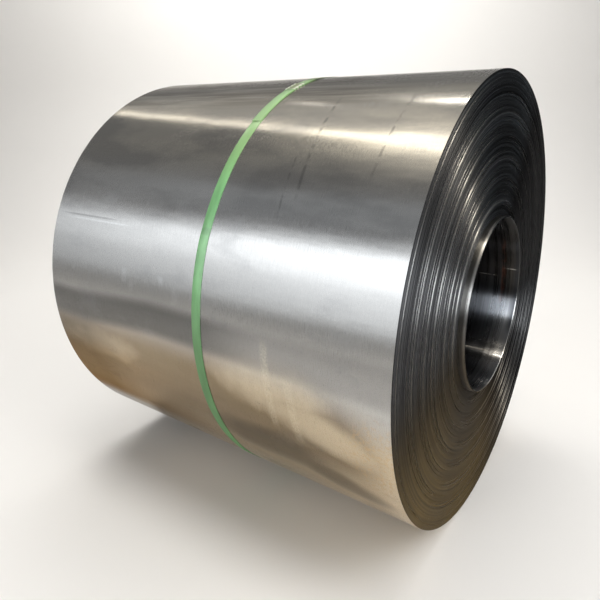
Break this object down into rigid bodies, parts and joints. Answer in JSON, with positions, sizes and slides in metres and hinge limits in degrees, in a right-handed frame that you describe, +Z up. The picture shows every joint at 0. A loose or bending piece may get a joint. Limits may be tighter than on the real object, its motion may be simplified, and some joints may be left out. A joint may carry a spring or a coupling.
{
  "type": "steel strip coil",
  "caption": "Cylindrical coil of bright cold-rolled steel strip on its side, with an open bore, a proud inner lip and a green plastic strap under a crimped seal.",
  "frame": {"origin": "on the floor, under the middle of the bounding box of the coil lying on its side", "axes": "+X along the coil's axis towards the end where the bore lip stands proud, +Z up"},
  "size_m": [1.221, 1.302, 1.302],
  "materials": {
    "coil_steel": "bright cold-rolled, brushed round the barrel, darker on the turned ends",
    "strap_plastic": "semi-gloss embossed green polyester",
    "seal_steel": "zinc-plated, crimped"
  },
  "bodies": {
    "root": {"coil": "coil_steel", "strap": "strap_plastic", "strap_seal": "seal_steel"}
  },
  "joints": []
}
